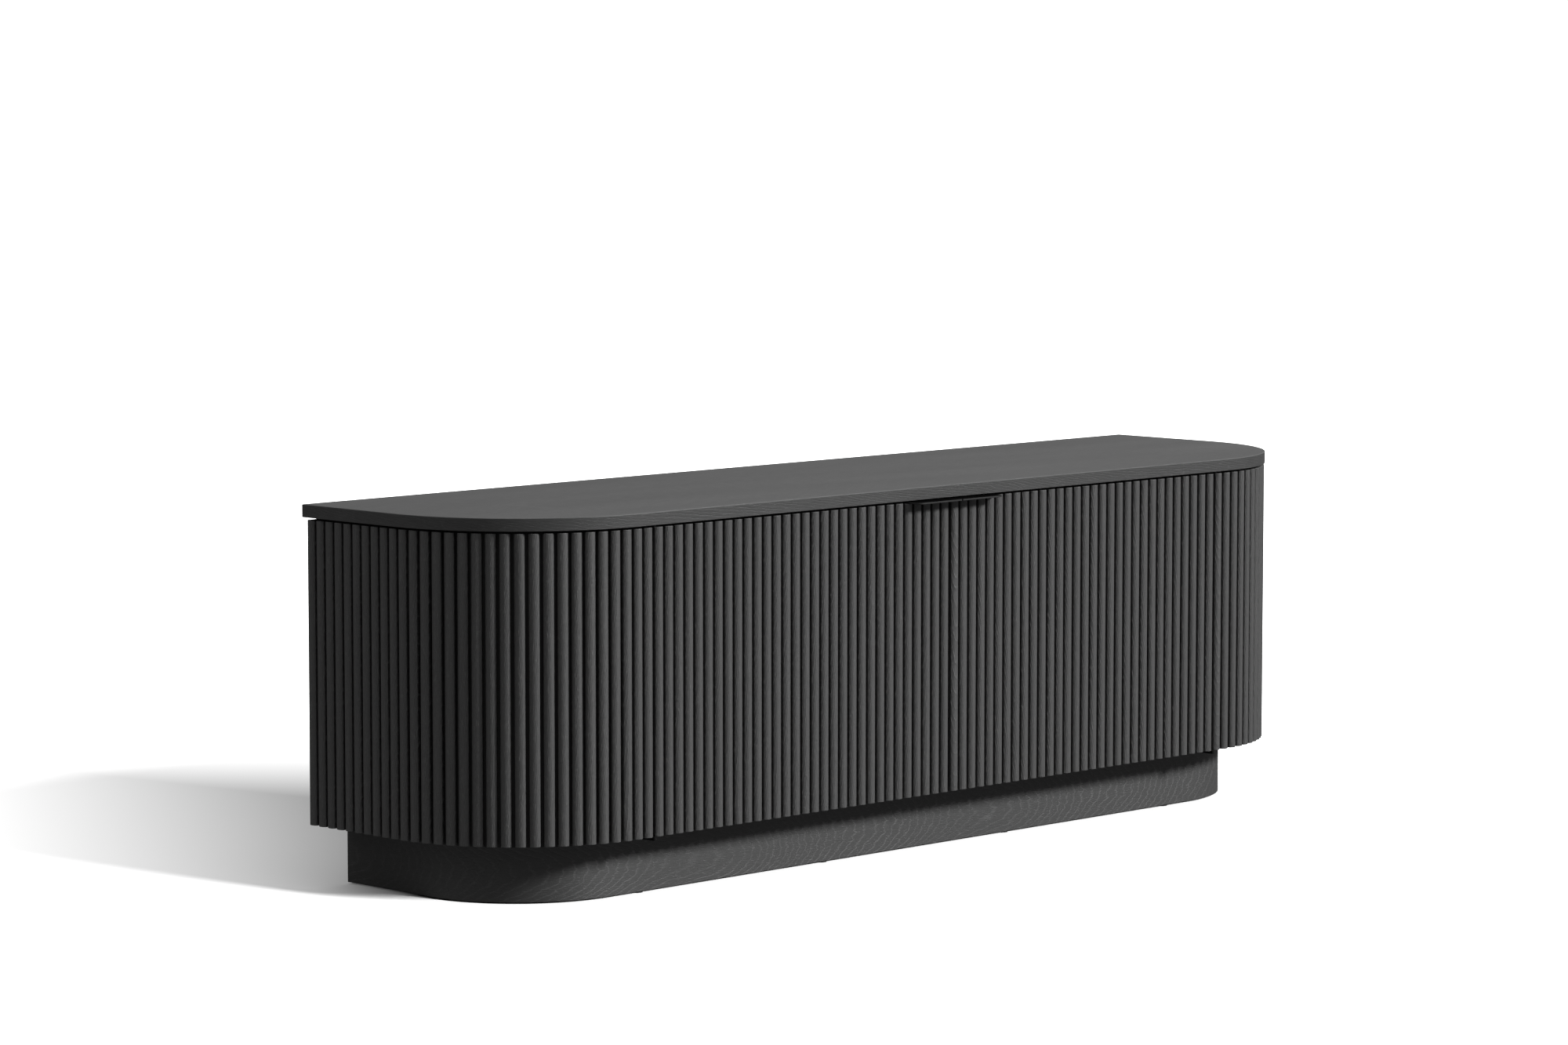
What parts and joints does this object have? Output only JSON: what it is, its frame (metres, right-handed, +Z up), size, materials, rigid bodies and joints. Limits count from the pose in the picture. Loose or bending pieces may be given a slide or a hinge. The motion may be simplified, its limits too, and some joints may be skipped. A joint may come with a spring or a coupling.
{
  "type": "sideboard",
  "caption": "Low fluted sideboard with rounded ends, a thin round-cornered top, two hinged doors with edge pulls and a set-back plinth.",
  "frame": {"origin": "on the floor, in the middle of the outline made by the top and the two pulls", "axes": "+Z up, the doors face -Y, +X to the right when facing the doors"},
  "size_m": [1.6, 0.419, 0.5],
  "materials": {
    "oak_top": "black-stained oak veneer, matt lacquer",
    "oak_slats": "black-stained solid oak, matt lacquer",
    "oak_plinth": "black-stained oak veneer, matt lacquer",
    "carcass_board": "black melamine-faced board, matt",
    "back_board": "black lacquered fibreboard, matt",
    "pull_metal": "black powder coat, satin",
    "hinge_metal": "black-coated steel",
    "hardware_steel": "zinc-plated steel",
    "catch_plastic": "moulded, matt",
    "pad_rubber": "soft, matt"
  },
  "bodies": {
    "cabinet": {"top_panel": "oak_top", "top_spacer": "carcass_board", "carcass_top": "carcass_board", "carcass_bottom": "carcass_board", "centre_partition": "carcass_board", "left_partition": "carcass_board", "right_partition": "carcass_board", "left_back_panel": "back_board", "right_back_panel": "back_board", "back_screws": "hardware_steel", "left_end_shell": "carcass_board", "right_end_shell": "carcass_board", "left_end_slats": "oak_slats", "right_end_slats": "oak_slats", "left_shelf": "carcass_board", "right_shelf": "carcass_board", "left_shelf_pins": "hardware_steel", "right_shelf_pins": "hardware_steel", "plinth_skirt": "oak_plinth", "plinth_back_rail": "carcass_board", "plinth_left_brace": "carcass_board", "plinth_centre_brace": "carcass_board", "plinth_right_brace": "carcass_board", "glides": "pad_rubber", "top_screws": "hardware_steel", "left_upper_case_leaf": "hinge_metal", "left_lower_case_leaf": "hinge_metal", "right_upper_case_leaf": "hinge_metal", "right_lower_case_leaf": "hinge_metal", "left_upper_hinge_pin": "hinge_metal", "left_lower_hinge_pin": "hinge_metal", "right_upper_hinge_pin": "hinge_metal", "right_lower_hinge_pin": "hinge_metal", "left_hinge_washer": "hinge_metal", "right_hinge_washer": "hinge_metal", "left_case_screws": "hinge_metal", "right_case_screws": "hinge_metal", "left_magnet_catch": "catch_plastic", "right_magnet_catch": "catch_plastic", "left_bumpers": "pad_rubber", "right_bumpers": "pad_rubber"},
    "left_door": {"left_door_panel": "carcass_board", "left_door_slats": "oak_slats", "left_pull": "pull_metal", "left_pull_screws": "hardware_steel", "left_upper_door_leaf": "hinge_metal", "left_lower_door_leaf": "hinge_metal", "left_door_screws": "hinge_metal", "left_strike_plate": "hardware_steel"},
    "right_door": {"right_door_panel": "carcass_board", "right_door_slats": "oak_slats", "right_pull": "pull_metal", "right_pull_screws": "hardware_steel", "right_upper_door_leaf": "hinge_metal", "right_lower_door_leaf": "hinge_metal", "right_door_screws": "hinge_metal", "right_strike_plate": "hardware_steel"}
  },
  "joints": [
    {"name": "left_door_hinge", "type": "hinge", "parent": "cabinet", "child": "left_door", "pos_m": [-0.55206, -0.1863, 0.2815], "axis": [0, 0, -1], "range_deg": [0, 105]},
    {"name": "right_door_hinge", "type": "hinge", "parent": "cabinet", "child": "right_door", "pos_m": [0.55206, -0.1863, 0.2815], "axis": [0, 0, 1], "range_deg": [0, 105]}
  ]
}
